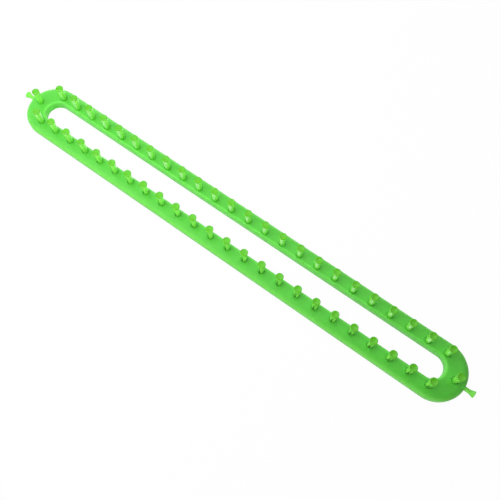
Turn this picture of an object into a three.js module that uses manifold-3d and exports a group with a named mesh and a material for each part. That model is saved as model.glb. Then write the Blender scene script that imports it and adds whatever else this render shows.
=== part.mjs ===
// A long knitting loom: a narrow plastic ring with a slot through its middle, a row of
// upright pegs along each side, one upright peg at each end, and a small anchor peg that
// sticks out of each end wall. All sizes are in millimetres. Z is up, X runs along the loom,
// and the origin is at the middle of the underside.

import * as THREE from 'three';
import { mergeVertices } from 'three/addons/utils/BufferGeometryUtils.js';
import Module from 'manifold-3d';

// Peg layout
const PEGS_PER_ROW = 24;
const PEG_PITCH = 17.5;
const ROW_SPACING = 30;

// Frame section, measured from the line of the pegs
const FRAME_HEIGHT = 8;
const OUTER_MARGIN = 9.5;
const INNER_MARGIN = 4.7;
const SLOT_END_SETBACK = 5;
const OUTER_SHOULDER_WIDTH = 6;
const OUTER_SHOULDER_DROP = 3.5;
const INNER_SHOULDER_RADIUS = 1.5;

// Hollow underside
const WALL_THICKNESS = 1.8;
const TOP_THICKNESS = 2.2;
const BOSS_WALL = 1.4;
const RIB_THICKNESS = 1.4;
const PEGS_PER_RIB = 2;
const RIB_RECESS = 0.6;

// Upright peg, above the frame
const PEG_HEIGHT = 15.3;
const SHAFT_DIAMETER = 5;
const NECK_DIAMETER = 5.5;
const HEAD_DIAMETER = 6.6;
const FLARE_LENGTH = 6.5;
const RIM_THICKNESS = 0.9;

// Groove down the outward side of each upright peg
const GROOVE_WIDTH = 1.4;
const GROOVE_DEPTH = 1.4;

// Stems and sockets
const STEM_DIAMETER = 3.4;
const STEM_RECESS = 1;
const SOCKET_CLEARANCE = 0.3;

// Anchor peg, outside the end wall
const ANCHOR_DROP = 3.8;
const ANCHOR_REACH = 8.3;
const ANCHOR_STEM_DIAMETER = 3.6;
const ANCHOR_HEAD_DIAMETER = 5.8;
const ANCHOR_FLARE_LENGTH = 3.6;
const ANCHOR_RIM_THICKNESS = 0.7;

// Facets of the round shapes
const END_ARC_STEPS = 9;
const OUTER_SHOULDER_STEPS = 4;
const HOLLOW_SHOULDER_STEPS = 1;
const INNER_SHOULDER_STEPS = 2;
const PEG_SIDES = 10;
const SOCKET_SIDES = 10;
const CUT_OVERRUN = 1;

// Places that follow from the sizes above
const rowLength = (PEGS_PER_ROW - 1) * PEG_PITCH;
const endCentreX = rowLength / 2;
const rowY = ROW_SPACING / 2;
const endPegX = endCentreX + rowY;
const outerRadius = rowY + OUTER_MARGIN;
const slotRadius = rowY - INNER_MARGIN;
const slotCentreX = endCentreX - SLOT_END_SETBACK;
const socketRadius = STEM_DIAMETER / 2 + SOCKET_CLEARANCE;
const bossRadius = socketRadius + BOSS_WALL;
const ceilingZ = FRAME_HEIGHT - TOP_THICKNESS;
const anchorZ = FRAME_HEIGHT - ANCHOR_DROP;
const anchorSocketRadius = ANCHOR_STEM_DIAMETER / 2 + SOCKET_CLEARANCE;
const anchorBossRadius = anchorSocketRadius + BOSS_WALL;
const endWallX = endCentreX + outerRadius;

// Colours of the two mouldings
const framePlastic = { color: 0x59c93f, roughness: 0.34, metalness: 0 };
const pegPlastic = { color: 0x74cf2e, roughness: 0.3, metalness: 0 };

// Solids are joined and cut as manifolds, and turned back into geometries at the end
const wasm = await Module();
wasm.setup();

function solidFrom(geometry) {
  const bare = geometry.clone();
  bare.deleteAttribute('normal');
  bare.deleteAttribute('uv');
  const merged = mergeVertices(bare, 1e-4);
  const mesh = new wasm.Mesh({
    numProp: 3,
    vertProperties: new Float32Array(merged.attributes.position.array),
    triVerts: new Uint32Array(merged.index.array),
  });
  mesh.merge();
  return new wasm.Manifold(mesh);
}

function geometryFrom(solid) {
  const mesh = solid.getMesh();
  const geometry = new THREE.BufferGeometry();
  geometry.setAttribute('position', new THREE.BufferAttribute(mesh.vertProperties, 3));
  geometry.setIndex(new THREE.BufferAttribute(mesh.triVerts, 1));
  geometry.computeVertexNormals();
  return geometry;
}

function joined(solids) {
  return solids.reduce((whole, solid) => whole.add(solid));
}

// Outline with straight sides and half-round ends
function stadium(PathClass, centreX, radius) {
  const path = new PathClass();
  path.moveTo(-centreX, -radius);
  path.lineTo(centreX, -radius);
  path.absarc(centreX, 0, radius, -Math.PI / 2, Math.PI / 2, false);
  path.lineTo(-centreX, radius);
  path.absarc(-centreX, 0, radius, Math.PI / 2, Math.PI * 1.5, false);
  return path;
}

// Upright slab with rounded top edges. Its rounded lower edges lie below the underside.
function slab(shape, topZ, roundWidth, roundHeight, roundSteps) {
  const depth = topZ + CUT_OVERRUN;
  const geometry = new THREE.ExtrudeGeometry(shape, {
    depth,
    curveSegments: END_ARC_STEPS,
    bevelEnabled: roundSteps > 0,
    bevelSize: roundWidth,
    bevelThickness: roundHeight,
    bevelSegments: roundSteps,
  });
  geometry.translate(0, 0, topZ - depth - (roundSteps > 0 ? roundHeight : 0));
  return solidFrom(geometry);
}

// Everything below the underside, for trimming the slabs
function belowUnderside() {
  const reach = 2 * (endWallX + CUT_OVERRUN);
  const block = new THREE.BoxGeometry(reach, reach, reach);
  block.translate(0, 0, -reach / 2);
  return solidFrom(block);
}

// Frame

// Rounded ring without its hollow: the outer shoulder is wide, the slot's edge is narrow
function ringEnvelope() {
  const outline = stadium(THREE.Shape, endCentreX, outerRadius - OUTER_SHOULDER_WIDTH);
  const body = slab(outline, FRAME_HEIGHT, OUTER_SHOULDER_WIDTH, OUTER_SHOULDER_DROP, OUTER_SHOULDER_STEPS);
  const plate = stadium(THREE.Shape, endCentreX, outerRadius + CUT_OVERRUN);
  const slotTopRadius = slotRadius + INNER_SHOULDER_RADIUS;
  plate.holes.push(stadium(THREE.Path, slotCentreX, slotTopRadius));
  const slotted = slab(
    plate, FRAME_HEIGHT, INNER_SHOULDER_RADIUS, INNER_SHOULDER_RADIUS, INNER_SHOULDER_STEPS,
  );
  return body.intersect(slotted).subtract(belowUnderside());
}

// Hollow under the top, between the outer wall and the wall around the slot
function underHollow() {
  const inset = OUTER_SHOULDER_WIDTH + WALL_THICKNESS;
  const outline = stadium(THREE.Shape, endCentreX, outerRadius - inset);
  const room = slab(outline, ceilingZ, OUTER_SHOULDER_WIDTH, OUTER_SHOULDER_DROP, HOLLOW_SHOULDER_STEPS);
  const core = stadium(THREE.Shape, slotCentreX, slotRadius + WALL_THICKNESS);
  return room.subtract(slab(core, FRAME_HEIGHT, 0, 0, 0));
}

function uprightCylinder(radius, x, y, bottomZ, topZ) {
  const geometry = new THREE.CylinderGeometry(radius, radius, topZ - bottomZ, SOCKET_SIDES);
  geometry.rotateX(Math.PI / 2);
  geometry.translate(x, y, (bottomZ + topZ) / 2);
  return solidFrom(geometry);
}

// Cylinder along X through the end wall, on the axis of an anchor peg
function endWallCylinder(radius, side, innerX, outerX) {
  const geometry = new THREE.CylinderGeometry(radius, radius, outerX - innerX, SOCKET_SIDES);
  geometry.rotateZ(Math.PI / 2);
  geometry.translate(side * (innerX + outerX) / 2, 0, anchorZ);
  return solidFrom(geometry);
}

// Rib across the hollow, from wall to wall, halfway between two pegs
function crossRib(x, side) {
  const geometry = new THREE.BoxGeometry(RIB_THICKNESS, outerRadius, FRAME_HEIGHT);
  geometry.translate(x, side * outerRadius / 2, RIB_RECESS + FRAME_HEIGHT / 2);
  return solidFrom(geometry);
}

function rowX(index) {
  return -endCentreX + index * PEG_PITCH;
}

// One entry for each upright peg: its name, its place and the side that its groove faces
function pegPlaces() {
  const places = [];
  for (const [row, side] of [['front', -1], ['back', 1]]) {
    for (let index = 0; index < PEGS_PER_ROW; index += 1) {
      const number = String(index + 1).padStart(2, '0');
      places.push({ name: `peg_${row}_${number}`, x: rowX(index), y: side * rowY, turn: side * Math.PI / 2 });
    }
  }
  places.push({ name: 'peg_end_left', x: -endPegX, y: 0, turn: Math.PI });
  places.push({ name: 'peg_end_right', x: endPegX, y: 0, turn: 0 });
  return places;
}

function makeFrame() {
  const kept = [];
  const bores = [];
  for (const { x, y } of pegPlaces()) {
    kept.push(uprightCylinder(bossRadius, x, y, RIB_RECESS, FRAME_HEIGHT));
    bores.push(uprightCylinder(socketRadius, x, y, -CUT_OVERRUN, FRAME_HEIGHT + CUT_OVERRUN));
  }
  for (let index = 0; index < PEGS_PER_ROW - 1; index += PEGS_PER_RIB) {
    const x = rowX(index) + PEG_PITCH / 2;
    kept.push(crossRib(x, -1), crossRib(x, 1));
  }
  const boreEndX = endPegX + bossRadius;
  for (const side of [-1, 1]) {
    kept.push(endWallCylinder(anchorBossRadius, side, endPegX, endWallX));
    bores.push(endWallCylinder(anchorSocketRadius, side, boreEndX, endWallX + CUT_OVERRUN));
  }
  const hollow = underHollow().subtract(joined(kept));
  return geometryFrom(ringEnvelope().subtract(hollow).subtract(joined(bores)));
}

// Upright peg: stem, shaft, flare and a rimmed head, turned about its own axis
function makePeg() {
  const stemRadius = STEM_DIAMETER / 2;
  const headRadius = HEAD_DIAMETER / 2;
  const rimZ = PEG_HEIGHT - RIM_THICKNESS;
  const flareZ = rimZ - FLARE_LENGTH;
  const profile = [
    new THREE.Vector2(0, STEM_RECESS - FRAME_HEIGHT),
    new THREE.Vector2(stemRadius, STEM_RECESS - FRAME_HEIGHT),
    new THREE.Vector2(stemRadius, 0),
    new THREE.Vector2(SHAFT_DIAMETER / 2, 0),
    new THREE.Vector2(NECK_DIAMETER / 2, flareZ),
    new THREE.Vector2(headRadius, rimZ),
    new THREE.Vector2(headRadius, PEG_HEIGHT),
    new THREE.Vector2(0, PEG_HEIGHT),
  ];
  const turned = new THREE.LatheGeometry(profile, PEG_SIDES);
  turned.rotateX(Math.PI / 2);
  const grooveFloor = SHAFT_DIAMETER / 2 - GROOVE_DEPTH;
  const grooveBottomZ = STEM_RECESS - FRAME_HEIGHT - CUT_OVERRUN;
  const grooveTopZ = rimZ;
  const groove = new THREE.BoxGeometry(headRadius, GROOVE_WIDTH, grooveTopZ - grooveBottomZ);
  groove.translate(grooveFloor + headRadius / 2, 0, (grooveTopZ + grooveBottomZ) / 2);
  return geometryFrom(solidFrom(turned).subtract(solidFrom(groove)));
}

// Anchor peg along +X, with X = 0 at the face of the end wall
function makeAnchorPeg() {
  const stemRadius = ANCHOR_STEM_DIAMETER / 2;
  const headRadius = ANCHOR_HEAD_DIAMETER / 2;
  const innerEnd = -(OUTER_MARGIN - bossRadius - SOCKET_CLEARANCE);
  const rimX = ANCHOR_REACH - ANCHOR_RIM_THICKNESS;
  const profile = [
    new THREE.Vector2(0, innerEnd),
    new THREE.Vector2(stemRadius, innerEnd),
    new THREE.Vector2(stemRadius, rimX - ANCHOR_FLARE_LENGTH),
    new THREE.Vector2(headRadius, rimX),
    new THREE.Vector2(headRadius, ANCHOR_REACH),
    new THREE.Vector2(0, ANCHOR_REACH),
  ];
  const turned = new THREE.LatheGeometry(profile, PEG_SIDES);
  turned.rotateZ(-Math.PI / 2);
  return geometryFrom(solidFrom(turned));
}

// Assembly

function named(name, geometry, finish) {
  const mesh = new THREE.Mesh(geometry, new THREE.MeshStandardMaterial(finish));
  mesh.name = name;
  return mesh;
}

const loom = new THREE.Group();
loom.add(named('frame', makeFrame(), framePlastic));

const pegGeometry = makePeg();
for (const { name, x, y, turn } of pegPlaces()) {
  const peg = named(name, pegGeometry, pegPlastic);
  peg.position.set(x, y, FRAME_HEIGHT);
  peg.rotation.z = turn;
  loom.add(peg);
}

const anchorGeometry = makeAnchorPeg();
for (const [end, side] of [['left', -1], ['right', 1]]) {
  const anchor = named(`anchor_peg_${end}`, anchorGeometry, pegPlastic);
  anchor.position.set(side * endWallX, 0, anchorZ);
  anchor.rotation.z = side > 0 ? 0 : Math.PI;
  loom.add(anchor);
}

export default loom;
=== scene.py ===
# %% [markdown]
# # A long knitting loom
#
# The loom is one long ring of green plastic with a slot through its middle. Fifty pegs stand
# on it, and a small anchor peg sticks out of each end to tie the first yarn to. This lesson
# models the mouldings with bmesh operators, gives them a procedural plastic, and lights them
# as a catalogue picture would.
#
# The construction is already loaded as plain solids, at their real size and in their real
# places. The finished pieces are made around them: each one takes its place from the solid
# that it stands for, so nothing has to be fitted by eye.

import math

import bmesh
import bpy
from mathutils import Matrix, Quaternion, Vector


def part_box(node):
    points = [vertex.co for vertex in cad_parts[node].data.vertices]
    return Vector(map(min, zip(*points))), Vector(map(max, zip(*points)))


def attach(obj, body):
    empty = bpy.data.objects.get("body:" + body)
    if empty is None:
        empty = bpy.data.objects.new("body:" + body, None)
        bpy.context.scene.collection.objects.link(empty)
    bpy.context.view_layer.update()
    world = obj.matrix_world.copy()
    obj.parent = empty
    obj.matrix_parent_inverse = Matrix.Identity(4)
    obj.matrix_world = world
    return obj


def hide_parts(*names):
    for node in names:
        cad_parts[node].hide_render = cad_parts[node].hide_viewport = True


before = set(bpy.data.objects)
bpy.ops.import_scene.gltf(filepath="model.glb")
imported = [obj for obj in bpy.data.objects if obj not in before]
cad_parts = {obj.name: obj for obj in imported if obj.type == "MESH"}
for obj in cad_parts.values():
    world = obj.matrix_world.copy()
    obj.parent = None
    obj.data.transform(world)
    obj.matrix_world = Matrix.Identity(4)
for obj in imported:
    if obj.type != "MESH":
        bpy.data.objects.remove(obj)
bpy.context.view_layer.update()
print("pieces in the construction:", len(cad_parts))

# %% [markdown]
# ## Sizes
#
# Most sizes are read from the solids: where the pegs stand, how long the ring is and how high
# it is. A few belong to the section of the ring and to the shape of a peg, and are named here
# in metres. A real moulding has no sharp edge anywhere, so small roundings are listed too.

# %% Sizes read from the solids
MM = 0.001


def middle(node):
    """Centre of a solid's box."""
    low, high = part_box(node)
    return (low + high) / 2


ring_low, ring_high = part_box("frame")
peg_low, peg_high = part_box("peg_front_01")
anchor_low, anchor_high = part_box("anchor_peg_right")

TOP_Z = ring_high.z
PEG_TOP_Z = peg_high.z
PITCH = middle("peg_front_02").x - middle("peg_front_01").x
END_CENTRE_X = middle("peg_front_24").x
OUTER_RADIUS = ring_high.y
END_WALL_X = ring_high.x
upright_names = [name for name in sorted(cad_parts) if name.startswith("peg_")]
print(f"ring {1000 * (ring_high.x - ring_low.x):.1f} mm long, peg pitch {1000 * PITCH:.2f} mm")
print("upright pegs:", len(upright_names))

# %% Sizes of the ring's section
SLOT_RADIUS = 10.3 * MM
SLOT_END_SETBACK = 5 * MM
SLOT_END_CENTRE_X = END_CENTRE_X - SLOT_END_SETBACK
OUTER_SHOULDER_WIDTH = 6 * MM
OUTER_SHOULDER_DROP = 3.5 * MM
INNER_SHOULDER_RADIUS = 1.5 * MM
WALL = 1.8 * MM
TOP_THICKNESS = 2.2 * MM
RIM_ROUND = 0.35 * MM
RIM_STEPS = 3
SHOULDER_STEPS = 14
HOLLOW_STEPS = 6
END_STEPS = 64

# %% Sizes of the pegs and their sockets
STEM_RADIUS = 1.7 * MM
STEM_CHAMFER = 0.4 * MM
SOCKET_RADIUS = 2.0 * MM
BOSS_RADIUS = 3.4 * MM
RIB_THICKNESS = 1.4 * MM
RIB_RECESS = 0.6 * MM
SHAFT_RADIUS = 2.5 * MM
FOOT_ROUND = 0.18 * MM
SEAT_RADIUS = 3.2 * MM
SEAT_DEPTH = 0.7 * MM
NECK_RADIUS = 2.75 * MM
HEAD_RADIUS = 3.3 * MM
HEAD_LIP = 0.5 * MM
HEAD_DISH = 0.3 * MM
RIM_THICKNESS = 0.9 * MM
FLARE_LENGTH = 6.5 * MM
FLARE_CURVE = 1.6
GROOVE_WIDTH = 1.4 * MM
GROOVE_FLOOR = 1.1 * MM
GROOVE_ROUND = 0.3 * GROOVE_WIDTH
PEG_STEPS = 48

# %% [markdown]
# ## The camera
#
# The picture looks down at the loom from the front, a little from the right. A camera that
# stands at a distance, looks at a point on the loom's top and rolls a little about its own
# line of sight can be given by three angles, one length and a target, which is easier to
# read than a matrix. The lens is moderately long, so the near end is only somewhat larger.

# %% Camera
CAMERA_AZIMUTH = 35.90
CAMERA_ELEVATION = 68.84
CAMERA_ROLL = 0.04
CAMERA_DISTANCE = 28.715 * PITCH
CAMERA_TARGET = Vector((1.456 * PITCH, -0.323 * PITCH, TOP_Z))
CAMERA_LENS = 43.466
SENSOR_WIDTH = 36
NEAREST, FARTHEST = 0.01, 20


def direction(azimuth, elevation):
    """Unit vector towards a viewer at this azimuth and elevation, in degrees."""
    a, e = math.radians(azimuth), math.radians(elevation)
    return Vector((math.sin(a) * math.cos(e), -math.cos(a) * math.cos(e), math.sin(e)))


def make_camera():
    data = bpy.data.cameras.new("camera")
    data.lens = CAMERA_LENS
    data.sensor_width = SENSOR_WIDTH
    data.clip_start = NEAREST
    data.clip_end = FARTHEST
    camera = bpy.data.objects.new("camera", data)
    back = direction(CAMERA_AZIMUTH, CAMERA_ELEVATION)
    camera.location = CAMERA_TARGET + back * CAMERA_DISTANCE
    roll = Quaternion((0, 0, 1), math.radians(CAMERA_ROLL))
    camera.rotation_mode = "QUATERNION"
    camera.rotation_quaternion = back.to_track_quat("Z", "Y") @ roll
    bpy.context.scene.collection.objects.link(camera)
    bpy.context.scene.camera = camera
    return camera


camera = make_camera()
print("camera stands", [round(c, 3) for c in camera.location])

# %% [markdown]
# ## Writing shader maths as Python
#
# A procedural material is a small calculation on each point of the surface. Placing Math
# nodes one by one hides that calculation, so two helper classes let it be written as an
# expression: a `Value` wraps a node's output and knows how to add and multiply itself, and a
# `Graph` makes any other node from its type, its settings and its inputs.

# %% Shader helpers
class Value:
    """A node's output that takes part in Python arithmetic."""

    def __init__(self, graph, socket):
        self.graph = graph
        self.socket = socket

    def __add__(self, other):
        return self.graph.maths("ADD", self, other)

    def __sub__(self, other):
        return self.graph.maths("SUBTRACT", self, other)

    def __rsub__(self, other):
        return self.graph.maths("SUBTRACT", other, self)

    def __mul__(self, other):
        return self.graph.maths("MULTIPLY", self, other)

    def __abs__(self):
        return self.graph.maths("ABSOLUTE", self)

    __radd__ = __add__
    __rmul__ = __mul__


class Graph:
    """The node tree of a new material or world."""

    def __init__(self, owner):
        owner.use_nodes = True
        owner.node_tree.nodes.clear()
        self.owner = owner
        self.tree = owner.node_tree

    def add(self, kind, settings=None, inputs=None, output=0):
        """New node; an input is a number, a colour or another node's Value."""
        node = self.tree.nodes.new(kind)
        for key, value in (settings or {}).items():
            setattr(node, key, value)
        for key, value in (inputs or {}).items():
            if isinstance(value, Value):
                self.tree.links.new(value.socket, node.inputs[key])
            else:
                node.inputs[key].default_value = value
        return Value(self, node.outputs[output]) if node.outputs else None

    def maths(self, operation, *inputs):
        return self.add("ShaderNodeMath", {"operation": operation}, dict(enumerate(inputs)))

    def climb(self, value, low, high):
        """0 at low, 1 at high and even in between; low may be the larger of the two."""
        inputs = {"Value": value, "From Min": low, "From Max": high}
        return self.add("ShaderNodeMapRange", inputs=inputs)

    def blend(self, factor, first, second, way="MIX"):
        """First colour where factor is 0; where it is 1, the second, or both multiplied."""
        settings = {"data_type": "RGBA", "blend_type": way}
        inputs = {"Factor": factor, 6: first, 7: second}
        return self.add("ShaderNodeMix", settings, inputs, output=2)

    def seen_directly(self):
        """1 for rays from the camera and for those sent on by gloss or glass, otherwise 0."""
        camera, glossy, transmission = (
            self.add("ShaderNodeLightPath", output=f"Is {kind} Ray")
            for kind in ("Camera", "Glossy", "Transmission")
        )
        return camera + glossy + transmission

    def finish(self, shader, output="ShaderNodeOutputMaterial"):
        """Gives the shader to the output node, and returns the finished material or world."""
        self.add(output, inputs={"Surface": shader})
        return self.owner


print("helpers ready")

# %% [markdown]
# ## The plastics
#
# Both mouldings are of plastic that is coloured all through, smooth and a little glossy. Their
# colour also holds painted light and shade, which stands in for the light that gets some way
# into the plastic and for the light thrown up by the white floor. It changes with height in
# layers: the ring's walls and outer shoulder are painted paler than its lowest band and its
# flat top, a peg's shaft is painted paler than its head, its foot darker as a painted contact
# shade, and the top of its head a deeper green as painted shade. Along the slot there is one
# more pale zone, a painted highlight on its rounded edge, which is found from the distance to
# the slot's middle line. Seen from any side, the colours stay where they are. The shafts of the
# pegs also shine more than their heads do, so a thin clear coat lies on them between two
# heights.
#
# Up close, the surface isn't perfect. Its colour drifts slightly where the melt flowed, its
# gloss is uneven, the skin has a very fine orange-peel waviness, and handling leaves hairline
# scuffs. Each of these is one noise pattern at its own real scale, read in object coordinates
# so that the size of the grain is a real size in metres.

# %% Patterns and gloss
DRIFT = (0.9, 0.955, 0.9, 1)
FLOW_SIZE, FLOW_STRETCH = 45 * MM, (1, 2.5, 2.5)
FLOW_SHARE = 0.75
DRIFT_RANGE = (0.3, 0.7)
MOTTLE_SIZE = 3.5 * MM
MOTTLE_ROUGHNESS = 0.08
GRAIN_SIZE = 0.7 * MM
RELIEF_STRENGTH, RELIEF_DEPTH = 0.12, 0.08 * MM
SCUFF_SIZE, SCUFF_STRETCH = 0.9 * MM, (0.12, 1, 1)
SCUFF_RANGE = (0.6, 0.72)
SCUFF_ROUGHNESS = 0.06
# Where the painted highlight lies on the slot's rounded edge: its reach from the slot's middle
# line and its heights.
SLOT_HIGHLIGHT_REACH = (SLOT_RADIUS + 2.6 * MM, SLOT_RADIUS + 0.91 * MM)
SLOT_HIGHLIGHT_RISE = (1.5 * MM, 4.5 * MM)
COAT_WEIGHT, COAT_ROUGHNESS = 0.6, 0.12
COAT_EDGE = 0.4 * MM


def noise(graph, place, size, detail=2.0, roughness=0.5, stretch=None):
    """Noise whose grains are about size metres across."""
    if stretch is not None:
        place = graph.add("ShaderNodeMapping", inputs={"Vector": place, "Scale": stretch})
    inputs = {"Vector": place, "Scale": 1 / size, "Detail": detail, "Roughness": roughness}
    return graph.add("ShaderNodeTexNoise", inputs=inputs)


def part_of(graph, place, axis):
    """One coordinate, X, Y or Z, of a place."""
    return graph.add("ShaderNodeSeparateXYZ", inputs={"Vector": place}, output=axis)


# Mask of the painted highlight that makes the slot's rounded edge paler.
def slot_highlight_mask(graph, place):
    """1 on the rounded upper edge of the slot, falling to 0 low on its wall and on the top."""
    x, y, height = (part_of(graph, place, axis) for axis in "XYZ")
    past_end = graph.maths("MAXIMUM", abs(x) - SLOT_END_CENTRE_X, 0.0)
    reach = graph.maths("SQRT", past_end * past_end + y * y)
    return graph.climb(reach, *SLOT_HIGHLIGHT_REACH) * graph.climb(height, *SLOT_HIGHLIGHT_RISE)


print("pattern sizes in mm:", [1000 * size for size in (FLOW_SIZE, MOTTLE_SIZE, SCUFF_SIZE)])

# %% Moulded plastic
def linear(red, green, blue):
    """Scene colour of an 8-bit screen colour."""
    def channel(value):
        value = value / 255
        return value / 12.92 if value <= 0.04045 else ((value + 0.055) / 1.055) ** 2.4
    return (channel(red), channel(green), channel(blue), 1.0)


def moulded_plastic(name, colour, painted_light_layers, gloss, ior, lip=None, polished=None):
    """Plastic of this colour low down; each layer is low, high and the colour above them.

    lip is the paler colour painted on the slot's rounded edge as a painted highlight, and
    polished the lowest and highest coated height.
    """
    graph = Graph(bpy.data.materials.new(name))
    place = graph.add("ShaderNodeTexCoord", output="Object")
    flow = noise(graph, place, FLOW_SIZE, detail=3, stretch=FLOW_STRETCH)
    mottle = noise(graph, place, MOTTLE_SIZE, detail=2)
    grain = noise(graph, place, GRAIN_SIZE, detail=1)
    scuff = noise(graph, place, SCUFF_SIZE, detail=4, roughness=0.7, stretch=SCUFF_STRETCH)
    height = part_of(graph, place, "Z")
    # Painted light and shade: each layer paints a band of height paler or deeper than the one
    # below.
    for low, high, above in painted_light_layers:
        colour = graph.blend(graph.climb(height, low, high), colour, above)
    # Painted highlight: the slot's rounded edge is painted paler.
    if lip is not None:
        colour = graph.blend(slot_highlight_mask(graph, place), colour, lip)
    drift = graph.climb(flow * FLOW_SHARE + mottle * (1 - FLOW_SHARE), *DRIFT_RANGE)
    colour = graph.blend(drift, colour, DRIFT, "MULTIPLY")
    scuffed = graph.climb(scuff, *SCUFF_RANGE)
    roughness = gloss + mottle * MOTTLE_ROUGHNESS + scuffed * SCUFF_ROUGHNESS
    relief = {
        "Strength": RELIEF_STRENGTH, "Distance": RELIEF_DEPTH, "Height": (grain + mottle) * 0.5,
    }
    bump = graph.add("ShaderNodeBump", inputs=relief)
    inputs = {"Base Color": colour, "Roughness": roughness, "IOR": ior, "Normal": bump}
    if polished is not None:
        low, high = polished
        coated = graph.climb(height, low, low + COAT_EDGE)
        coated = coated - graph.climb(height, high - COAT_EDGE, high)
        inputs.update({"Coat Weight": coated * COAT_WEIGHT, "Coat Roughness": COAT_ROUGHNESS})
    return graph.finish(graph.add("ShaderNodeBsdfPrincipled", inputs=inputs))


# Painted light and shade on the ring: its walls from 2.5 mm up and its outer shoulder are
# painted paler than its lowest band and its deeper flat top, and lip paints a highlight along
# the slot's edge.
frame_plastic = moulded_plastic(
    "frame_plastic", linear(96, 206, 62),
    [
        (2.5 * MM, 5.5 * MM, linear(116, 220, 83)),
        (5.8 * MM, 7.6 * MM, linear(89, 196, 64)),
    ],
    gloss=0.34, ior=1.3, lip=linear(112, 219, 84),
)
# Painted light and shade on the pegs: the foot is painted darker as a contact shade, the shaft
# paler above it, and the top of the head a deeper green as painted shade.
peg_plastic = moulded_plastic(
    "peg_plastic", linear(121, 228, 73),
    [
        (TOP_Z + 0.5 * MM, TOP_Z + 7 * MM, linear(152, 249, 98)),
        (PEG_TOP_Z - 0.55 * MM, PEG_TOP_Z - 0.35 * MM, linear(86, 187, 5)),
    ],
    gloss=0.12, ior=1.35, polished=(TOP_Z, PEG_TOP_Z - COAT_EDGE),
)
finishes = {"frame_plastic": frame_plastic, "peg_plastic": peg_plastic}
print("finishes:", ", ".join(finishes))

# %% [markdown]
# ## Turning a bmesh into a finished piece
#
# Every piece goes through the same last steps: its doubled points are merged, its faces are
# made to point outwards, it is shaded smooth except at real corners, and a weighted-normal
# modifier keeps the large flat faces flat where a small rounding meets them. The object sits
# at the origin, because its place is in its mesh.

# %% Finishing helpers
MERGE_DISTANCE = 1e-6
CORNER_ANGLE = math.radians(38)


def mesh_from(build):
    """Clean mesh from a bmesh, which is then freed."""
    bmesh.ops.remove_doubles(build, verts=build.verts, dist=MERGE_DISTANCE)
    bmesh.ops.recalc_face_normals(build, faces=build.faces)
    mesh = bpy.data.meshes.new("moulding")
    build.to_mesh(mesh)
    build.free()
    return mesh


def object_from(name, mesh):
    """Object at the origin that shows a mesh."""
    piece = bpy.data.objects.new(name, mesh)
    bpy.context.scene.collection.objects.link(piece)
    return piece


def boolean(mesh, tool_mesh, operation):
    """Mesh joined with, or cut by, a tool mesh."""
    body = object_from("body_being_cut", mesh)
    tool = object_from("cutting_tool", tool_mesh)
    modifier = body.modifiers.new("boolean", "BOOLEAN")
    modifier.operation = operation
    modifier.solver = "EXACT"
    modifier.object = tool
    shown = body.evaluated_get(bpy.context.evaluated_depsgraph_get())
    result = bpy.data.meshes.new_from_object(shown)
    for piece in (body, tool):
        old = piece.data
        bpy.data.objects.remove(piece)
        bpy.data.meshes.remove(old)
    return result


def soften(mesh):
    """Smooth shading that stays sharp at real corners."""
    mesh.shade_smooth()
    mesh.set_sharp_from_angle(angle=CORNER_ANGLE)
    return mesh


def fit_piece(name, mesh, node, slot):
    """Finished piece that rides on the loom and stands for one of its solids."""
    mesh.materials.clear()
    mesh.materials.append(finishes[slot])
    piece = object_from(name, mesh)
    weighted = piece.modifiers.new("weighted_normals", "WEIGHTED_NORMAL")
    weighted.keep_sharp = True
    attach(piece, "root")
    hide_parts(node)
    return piece


print("finishing helpers ready")

# %% [markdown]
# ## The ring
#
# The ring is a channel: a top with a wide, soft outer shoulder and a narrow inner one, and two
# walls that hang from it. Its section is the same all along, so the section is drawn once and
# swept round. It could be swept along a curve, but the path is only straight lines and half
# circles, and `spin` and `extrude` make those exactly.
#
# The slot's round ends start a little earlier than the outer ones, which leaves more plastic
# around the end pegs. Because the slot's ends have the same radius as a concentric sweep gives
# them, they only have to slide along the loom.

# %% Section of the ring
def quarter(centre_r, centre_z, width, height, start, steps):
    """Points of a quarter ellipse, which begins at start degrees and goes on anticlockwise."""
    points = []
    for step in range(steps + 1):
        angle = math.radians(start + 90 * step / steps)
        points.append((centre_r + width * math.cos(angle), centre_z + height * math.sin(angle)))
    return points


def ring_section():
    """Closed outline, as distance from the middle line and height, anticlockwise."""
    ceiling = TOP_Z - TOP_THICKNESS
    hollow_outer = OUTER_RADIUS - WALL
    hollow_inner = SLOT_RADIUS + WALL
    edge = RIM_ROUND
    outline = quarter(OUTER_RADIUS - edge, edge, edge, edge, 270, RIM_STEPS)
    outline += quarter(
        OUTER_RADIUS - OUTER_SHOULDER_WIDTH, TOP_Z - OUTER_SHOULDER_DROP,
        OUTER_SHOULDER_WIDTH, OUTER_SHOULDER_DROP, 0, SHOULDER_STEPS,
    )
    outline += quarter(
        SLOT_RADIUS + INNER_SHOULDER_RADIUS, TOP_Z - INNER_SHOULDER_RADIUS,
        INNER_SHOULDER_RADIUS, INNER_SHOULDER_RADIUS, 90, SHOULDER_STEPS // 2,
    )
    outline += quarter(SLOT_RADIUS + edge, edge, edge, edge, 180, RIM_STEPS)
    outline += quarter(hollow_inner - edge, edge, edge, edge, 270, RIM_STEPS)
    outline += [(hollow_inner, ceiling), (hollow_outer - OUTER_SHOULDER_WIDTH, ceiling)]
    hollow_shoulder = quarter(
        hollow_outer - OUTER_SHOULDER_WIDTH, ceiling - OUTER_SHOULDER_DROP,
        OUTER_SHOULDER_WIDTH, OUTER_SHOULDER_DROP, 0, HOLLOW_STEPS,
    )
    outline += hollow_shoulder[::-1][1:]
    outline += quarter(hollow_outer + edge, edge, edge, edge, 180, RIM_STEPS)
    return outline


section = ring_section()
print("points in the section:", len(section))

# %% Sweep the section round the loom
def only(kind, geometry):
    """The vertices or the edges among the parts that an operator returned."""
    return [item for item in geometry if isinstance(item, kind)]


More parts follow.
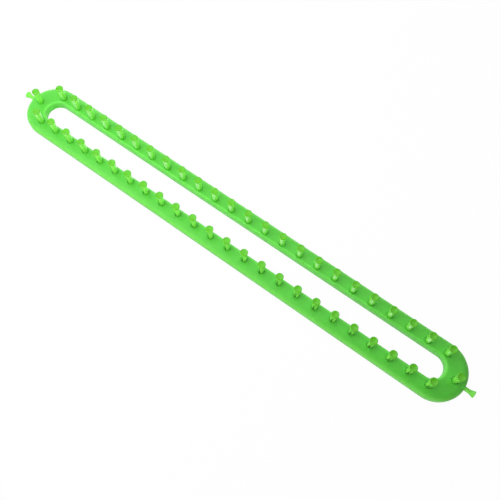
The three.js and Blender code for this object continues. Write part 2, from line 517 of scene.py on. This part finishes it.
def sweep_ring(outline):
    """Ring made by two half turns and two straight pulls of its section."""
    build = bmesh.new()
    corners = [build.verts.new((END_CENTRE_X, -r, z)) for r, z in outline]
    edges = [build.edges.new((a, b)) for a, b in zip(corners, corners[1:] + corners[:1])]
    last = corners + edges
    for side in (1, -1):
        turned = bmesh.ops.spin(
            build, geom=last, cent=(side * END_CENTRE_X, 0, 0), axis=(0, 0, 1),
            angle=math.pi, steps=END_STEPS, use_duplicate=False,
        )
        last_edges = only(bmesh.types.BMEdge, turned["geom_last"])
        drawn = bmesh.ops.extrude_edge_only(build, edges=last_edges)["geom"]
        moved = only(bmesh.types.BMVert, drawn)
        bmesh.ops.translate(build, verts=moved, vec=(-side * 2 * END_CENTRE_X, 0, 0))
        last = moved + only(bmesh.types.BMEdge, drawn)
    bmesh.ops.remove_doubles(build, verts=build.verts, dist=MERGE_DISTANCE)
    return build


def slide_slot_ends(build):
    """Moves the round ends of the slot's wall towards the middle of the loom."""
    reach = SLOT_RADIUS + WALL + MERGE_DISTANCE
    for side in (1, -1):
        centre = Vector((side * END_CENTRE_X, 0, 0))
        inner = [
            vert for vert in build.verts
            if side * vert.co.x > END_CENTRE_X - MERGE_DISTANCE
            and (vert.co.xy - centre.xy).length < reach
        ]
        bmesh.ops.translate(build, verts=inner, vec=(-side * SLOT_END_SETBACK, 0, 0))


ring_build = sweep_ring(section)
slide_slot_ends(ring_build)
print("ring faces:", len(ring_build.faces))

# %% [markdown]
# ## Bosses, ribs and sockets
#
# Under the top, each peg has a tubular boss that grips its stem, and thin ribs stiffen the
# channel. All of these stand a little way into the plastic that they grow from, so that a
# boolean joins them into one moulding. The sockets are then drilled through in one cut, and a
# shallow, slightly wider seat is cut round each. The foot of the shaft stands in its seat, and
# the narrow gap round it shows as a dark line.

# %% Places of the pegs
places = {}
for node in upright_names:
    spot = middle(node)
    facing = math.atan2(0, spot.x) if "end" in node else math.atan2(spot.y, 0)
    places[node] = (spot.x, spot.y, facing)
END_PEG_X = max(x for x, y, facing in places.values())
print("first peg at", [round(c, 4) for c in places["peg_front_01"][:2]])

# %% Bosses, ribs and drills
EMBED = 0.5 * MM
OVERRUN = 1 * MM
ROUND_STEPS = 32
GAPS_IN_A_ROW = round(2 * END_CENTRE_X / PITCH)


def upright_rod(build, x, y, low, high, radius):
    """Adds an upright rod from height low to height high."""
    bmesh.ops.create_cone(
        build, cap_ends=True, segments=ROUND_STEPS, depth=high - low,
        radius1=radius, radius2=radius, matrix=Matrix.Translation((x, y, (low + high) / 2)),
    )


def rod_along_x(build, side, inner, outer, z, radius):
    """Adds a rod that lies along the loom on one side (1 or -1) of its middle."""
    place = Matrix.Translation((side * (inner + outer) / 2, 0, z))
    bmesh.ops.create_cone(
        build, cap_ends=True, segments=ROUND_STEPS, depth=outer - inner,
        radius1=radius, radius2=radius, matrix=place @ Matrix.Rotation(math.pi / 2, 4, "Y"),
    )


def bosses_and_ribs():
    """Mesh of all bosses, with a rib in every second gap between the pegs."""
    build = bmesh.new()
    low, high = RIB_RECESS, TOP_Z - TOP_THICKNESS + EMBED
    for x, y, facing in places.values():
        upright_rod(build, x, y, low, high, BOSS_RADIUS)
    inner = SLOT_RADIUS + WALL - EMBED
    outer = OUTER_RADIUS - WALL + EMBED
    size = Matrix.Diagonal((RIB_THICKNESS, outer - inner, high - low, 1))
    for gap in range(0, GAPS_IN_A_ROW, 2):
        x = -END_CENTRE_X + (gap + 0.5) * PITCH
        for side in (1, -1):
            place = Matrix.Translation((x, side * (inner + outer) / 2, (low + high) / 2))
            bmesh.ops.create_cube(build, size=1, matrix=place @ size)
    return mesh_from(build)


def peg_hole_cutter(low, radius):
    """Mesh of rods from height low to above the top, one at the place of each peg."""
    build = bmesh.new()
    for x, y, facing in places.values():
        upright_rod(build, x, y, low, TOP_Z + OVERRUN, radius)
    return mesh_from(build)


anchor_z = middle("anchor_peg_right").z
ring_mesh = mesh_from(ring_build)
ring_mesh = boolean(ring_mesh, bosses_and_ribs(), "UNION")
ring_mesh = boolean(ring_mesh, peg_hole_cutter(-OVERRUN, SOCKET_RADIUS), "DIFFERENCE")
ring_mesh = boolean(ring_mesh, peg_hole_cutter(TOP_Z - SEAT_DEPTH, SEAT_RADIUS), "DIFFERENCE")
print("ring with bosses and sockets:", len(ring_mesh.polygons), "faces")

# %% Boss and socket for each anchor peg
ANCHOR_SOCKET_RADIUS = 2.1 * MM
ANCHOR_BOSS_RADIUS = 3.5 * MM
boss_face_x = END_PEG_X + BOSS_RADIUS


def anchor_tool(inner, outer, radius):
    """Mesh of a rod at each end, to join to the ring or to drill it with."""
    build = bmesh.new()
    for side in (1, -1):
        rod_along_x(build, side, inner, outer, anchor_z, radius)
    return mesh_from(build)


anchor_bosses = anchor_tool(boss_face_x - EMBED, END_WALL_X - WALL + EMBED, ANCHOR_BOSS_RADIUS)
ring_mesh = boolean(ring_mesh, anchor_bosses, "UNION")
anchor_drills = anchor_tool(boss_face_x, END_WALL_X + OVERRUN, ANCHOR_SOCKET_RADIUS)
ring_mesh = boolean(ring_mesh, anchor_drills, "DIFFERENCE")
loom_ring = fit_piece("loom_ring", soften(ring_mesh), "frame", "frame_plastic")
print("finished ring:", len(ring_mesh.polygons), "faces")

# %% [markdown]
# ## An upright peg
#
# A peg is a turned shape: a stem that goes into the socket, a shaft that widens a little
# towards the top, and a flared head with a thin rim and a slightly dished top that keeps the
# loops on. Half of its outline is drawn and spun about the upright axis. A groove runs down
# the outward side and leaves room under a tight loop of yarn. It is one cut, and because the
# groove also passes through the seat, it leaves a small dark opening at the foot of the peg.

# %% Outline of a peg
def flare(low, length, narrow, wide, curve, steps):
    """Points of a flank that widens from narrow to wide, faster and faster."""
    points = []
    for step in range(steps + 1):
        t = step / steps
        points.append((narrow + (wide - narrow) * t ** curve, low + length * t))
    return points


def peg_outline():
    """Half outline, as radius and height above the ring's top, from the stem to the head."""
    top = PEG_TOP_Z - TOP_Z
    stem_end = peg_low.z - TOP_Z
    flare_low = top - RIM_THICKNESS - FLARE_LENGTH
    edge, lip = FOOT_ROUND, HEAD_LIP
    outline = [
        (0, stem_end),
        (STEM_RADIUS - STEM_CHAMFER, stem_end),
        (STEM_RADIUS, stem_end + STEM_CHAMFER),
        (STEM_RADIUS, -SEAT_DEPTH),
    ]
    outline += quarter(SHAFT_RADIUS - edge, edge - SEAT_DEPTH, edge, edge, 270, 3)
    outline += flare(flare_low, FLARE_LENGTH, NECK_RADIUS, HEAD_RADIUS, FLARE_CURVE, 8)
    outline += quarter(HEAD_RADIUS - lip, top - lip, lip, lip, 0, 5)
    outline += [
        (HEAD_RADIUS - 1.7 * lip, top - 0.4 * HEAD_DISH),
        (HEAD_RADIUS - 2.3 * lip, top - HEAD_DISH),
        (0, top - HEAD_DISH),
    ]
    return outline


def turned(outline, steps):
    """Bmesh of an outline of radius and height spun about the upright axis."""
    build = bmesh.new()
    corners = [build.verts.new((r, 0, z)) for r, z in outline]
    edges = [build.edges.new(pair) for pair in zip(corners, corners[1:])]
    bmesh.ops.spin(
        build, geom=corners + edges, cent=(0, 0, 0), axis=(0, 0, 1), angle=2 * math.pi,
        steps=steps, use_merge=True, use_duplicate=False,
    )
    return build


peg_profile = peg_outline()
print("points in the peg's outline:", len(peg_profile))

# %% Groove
def groove_tool():
    """Round-bottomed cutter that runs from below the stem to just under the rim."""
    build = bmesh.new()
    low = peg_low.z - TOP_Z - OVERRUN
    high = PEG_TOP_Z - TOP_Z - RIM_THICKNESS
    reach = HEAD_RADIUS + OVERRUN
    size = Matrix.Diagonal((reach, GROOVE_WIDTH, high - low, 1))
    place = Matrix.Translation((GROOVE_FLOOR + reach / 2, 0, (low + high) / 2))
    bmesh.ops.create_cube(build, size=1, matrix=place @ size)
    floor_edges = [
        edge for edge in build.edges
        if all(vert.co.x < GROOVE_FLOOR + MERGE_DISTANCE for vert in edge.verts)
        and abs(edge.verts[0].co.z - edge.verts[1].co.z) > MERGE_DISTANCE
    ]
    bmesh.ops.bevel(
        build, geom=floor_edges, offset=GROOVE_ROUND, offset_type="OFFSET",
        affect="EDGES", segments=4, profile=0.5, material=-1,
    )
    return mesh_from(build)


peg_mesh = boolean(mesh_from(turned(peg_profile, PEG_STEPS)), groove_tool(), "DIFFERENCE")
soften(peg_mesh)
print("one peg:", len(peg_mesh.polygons), "faces")

# %% Stand the pegs in their sockets
for node in upright_names:
    x, y, facing = places[node]
    mesh = peg_mesh.copy()
    mesh.transform(Matrix.Translation((x, y, TOP_Z)) @ Matrix.Rotation(facing, 4, "Z"))
    fit_piece("loom_" + node, mesh, node, "peg_plastic")
bpy.data.meshes.remove(peg_mesh)
print("pegs standing:", len(upright_names))

# %% [markdown]
# ## The anchor pegs
#
# The two anchor pegs are turned too, and lie on their sides in the end walls. Each has a
# straight stem and a short cone that ends in a flat face, so that a slip knot stays on.

# %% Anchor pegs
ANCHOR_STEM_RADIUS = 1.8 * MM
ANCHOR_HEAD_RADIUS = 2.9 * MM
ANCHOR_FLARE_LENGTH = 3.6 * MM
ANCHOR_FLARE_CURVE = 1.3
ANCHOR_RIM_THICKNESS = 0.7 * MM
ANCHOR_ROUND = 0.2 * MM


def anchor_outline():
    """Half outline, as radius and distance along the peg from its inner end."""
    length = anchor_high.x - anchor_low.x
    flare_low = length - ANCHOR_RIM_THICKNESS - ANCHOR_FLARE_LENGTH
    edge = ANCHOR_ROUND
    outline = [(0, 0), (ANCHOR_STEM_RADIUS - edge, 0), (ANCHOR_STEM_RADIUS, edge)]
    outline += flare(
        flare_low, ANCHOR_FLARE_LENGTH, ANCHOR_STEM_RADIUS, ANCHOR_HEAD_RADIUS,
        ANCHOR_FLARE_CURVE, 6,
    )
    outline += quarter(ANCHOR_HEAD_RADIUS - edge, length - edge, edge, edge, 0, 4)
    outline += [(0, length)]
    return outline


def make_anchor(node, side):
    """Anchor peg that points out of the left (-1) or the right (1) end."""
    mesh = mesh_from(turned(anchor_outline(), PEG_STEPS))
    place = Matrix.Translation((side * anchor_low.x, 0, anchor_z))
    mesh.transform(place @ Matrix.Rotation(side * math.pi / 2, 4, "Y"))
    return fit_piece("loom_" + node, soften(mesh), node, "peg_plastic")


for node, side in (("anchor_peg_left", -1), ("anchor_peg_right", 1)):
    make_anchor(node, side)
print("anchor pegs made")

# %% [markdown]
# ## Floor, background and lights
#
# A catalogue picture has a white ground without a horizon. The floor is a plain pale sheet of
# paper. Seen by the camera or in a reflection, most of its white is a plain glow, so that it
# stays even; the rest is lit paper, which keeps the loom's soft shadow. The backdrop is white
# in the same two cases only. Neither of them adds any light to the loom itself.
#
# The loom's light comes from soft lamps and, faintly, from the room. The lamps stand close
# round the left half of the loom, so that the right end is a little deeper in colour. Two more
# are for the ends: a low one for the front of the right end, and one with a narrow beam that
# reaches the left end from the right.

# %% Floor
FLOOR_SIZE = 6.0
FLOOR_GLOW = 0.97
WHITE = (1, 1, 1, 1)
WHITE_GLOW = 1.0
PAPER = (0.85, 0.85, 0.85, 1)


def make_floor():
    build = bmesh.new()
    bmesh.ops.create_grid(build, x_segments=1, y_segments=1, size=FLOOR_SIZE / 2)
    mesh = bpy.data.meshes.new("floor")
    build.to_mesh(mesh)
    build.free()
    floor = object_from("floor", mesh)
    graph = Graph(bpy.data.materials.new("white_ground"))
    paper = graph.add("ShaderNodeBsdfDiffuse", inputs={"Color": PAPER})
    glow = graph.add("ShaderNodeEmission", inputs={"Color": WHITE, "Strength": WHITE_GLOW})
    factor = graph.seen_directly() * FLOOR_GLOW
    ground = graph.add("ShaderNodeMixShader", inputs={0: factor, 1: paper, 2: glow})
    mesh.materials.append(graph.finish(ground))
    return floor


floor = make_floor()
print("floor laid")

# %% World
ROOM_GLOW = 0.04


def make_world():
    graph = Graph(bpy.data.worlds.new("studio"))
    room, backdrop = (
        graph.add("ShaderNodeBackground", inputs={"Color": WHITE, "Strength": strength})
        for strength in (ROOM_GLOW, WHITE_GLOW)
    )
    factor = graph.seen_directly()
    shown = graph.add("ShaderNodeMixShader", inputs={0: factor, 1: room, 2: backdrop})
    bpy.context.scene.world = graph.finish(shown, "ShaderNodeOutputWorld")


make_world()
print("backdrop hung")

# %% Lamps
LIT_SPOT = (-0.15, 0, 0)
LAMP_SIZE = 0.5
# Name, azimuth and elevation in degrees, distance in metres and power in watts.
LAMPS = [
    ("top_lamp", 0, 90, 0.45, 1.5),
    ("front_lamp", 0, 45, 0.6, 0.95),
    ("front_left_lamp", -45, 45, 0.6, 1.2),
    ("left_lamp", -90, 45, 0.6, 0.8),
    ("back_right_lamp", 135, 45, 0.6, 0.6),
    ("low_front_right_lamp", 50, 15, 0.7, 0.6),
    ("low_left_lamp", -75, 15, 0.7, 0.6),
    ("low_back_left_lamp", -135, 15, 0.7, 1.8),
    ("low_back_lamp", 180, 15, 0.7, 1.1),
]


def soft_lamp(name, azimuth, elevation, distance, size, power, target, spread=180):
    """Soft lamp that stands at this azimuth, elevation and distance from its target."""
    data = bpy.data.lights.new(name, "AREA")
    data.shape = "RECTANGLE"
    data.size, data.size_y = size
    data.energy = power
    data.spread = math.radians(spread)
    lamp = bpy.data.objects.new(name, data)
    back = direction(azimuth, elevation)
    lamp.location = Vector(target) + back * distance
    lamp.rotation_mode = "QUATERNION"
    lamp.rotation_quaternion = back.to_track_quat("Z", "Y")
    bpy.context.scene.collection.objects.link(lamp)
    return lamp


for name, azimuth, elevation, distance, power in LAMPS:
    soft_lamp(name, azimuth, elevation, distance, (LAMP_SIZE, LAMP_SIZE), power, LIT_SPOT)
soft_lamp("right_end_lamp", 35, 8, 0.6, (LAMP_SIZE, 0.15), 0.4, (0.1, 0, 0))
soft_lamp("left_end_lamp", 90, 24, 0.5, (0.2, 0.1), 0.03, (-0.21, 0, 0), spread=50)
bpy.context.scene.view_settings.view_transform = "Standard"
